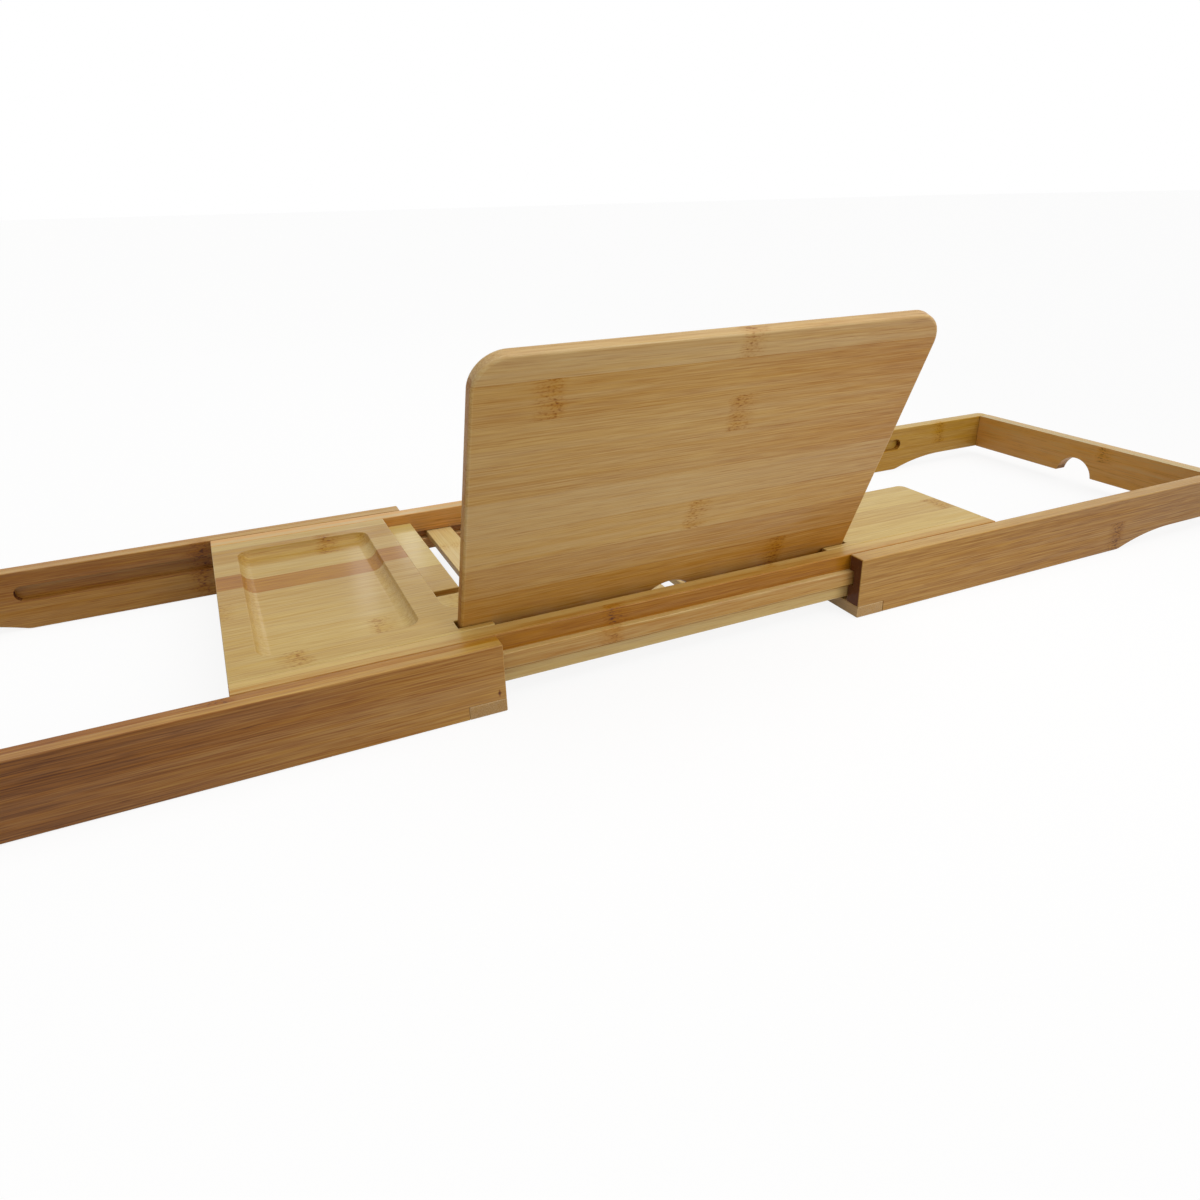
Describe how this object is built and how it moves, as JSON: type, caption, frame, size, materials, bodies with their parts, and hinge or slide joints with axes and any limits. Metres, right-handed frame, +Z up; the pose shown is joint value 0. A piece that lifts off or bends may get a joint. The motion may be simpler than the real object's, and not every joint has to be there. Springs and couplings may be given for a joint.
{
  "type": "bath caddy",
  "caption": "Bamboo tray that bridges a bath on two sliding arms, with a soap recess, a slatted bay, a slot for a stemmed glass and a loose leaning book panel.",
  "frame": {"origin": "under the middle of the whole object's box at rest, on the plane the arms' undersides stand on", "axes": "+X along the caddy towards the board with the glass slot, +Y from the leaning panel's side to the bather's side, +Z up"},
  "size_m": [0.9264, 0.2691, 0.1853],
  "materials": {
    "arm_bamboo": "sealed carbonised bamboo, satin",
    "tray_rail_bamboo": "sealed bamboo, satin",
    "board_bamboo": "laminated natural bamboo, satin lacquer",
    "slat_bamboo": "natural bamboo, satin lacquer",
    "panel_bamboo": "laminated bamboo, satin lacquer",
    "plain_bamboo": "unfinished bamboo",
    "steel": "zinc plated"
  },
  "bodies": {
    "tray": {"tray_front_rail": "tray_rail_bamboo", "tray_rear_rail": "tray_rail_bamboo", "soap_board": "board_bamboo", "glass_board": "board_bamboo", "slat_1": "slat_bamboo", "slat_2": "slat_bamboo", "slat_3": "slat_bamboo", "slat_4": "slat_bamboo", "slat_5": "slat_bamboo", "slat_6": "slat_bamboo", "slat_7": "slat_bamboo", "stop_peg_1": "plain_bamboo", "stop_peg_2": "plain_bamboo", "stop_peg_3": "plain_bamboo", "stop_peg_4": "plain_bamboo"},
    "left_arm": {"left_arm_front_rail": "arm_bamboo", "left_arm_rear_rail": "arm_bamboo", "left_arm_end_rail": "arm_bamboo", "left_arm_cross_strip": "plain_bamboo", "left_arm_front_screw": "steel", "left_arm_rear_screw": "steel"},
    "right_arm": {"right_arm_front_rail": "arm_bamboo", "right_arm_rear_rail": "arm_bamboo", "right_arm_end_rail": "arm_bamboo", "right_arm_cross_strip": "plain_bamboo", "right_arm_front_screw": "steel", "right_arm_rear_screw": "steel"},
    "panel": {"book_panel": "panel_bamboo"}
  },
  "joints": [
    {"name": "left_arm_slide", "type": "slide", "parent": "tray", "child": "left_arm", "axis": [-1, 0, 0], "range_m": [-0.1106, 0.0641]},
    {"name": "right_arm_slide", "type": "slide", "parent": "tray", "child": "right_arm", "axis": [1, 0, 0], "range_m": [-0.1152, 0.0595]},
    {"name": "panel_lift", "type": "slide", "parent": "tray", "child": "panel", "axis": [0, -0.3827, 0.9239], "range_m": [0, 0.02]}
  ]
}
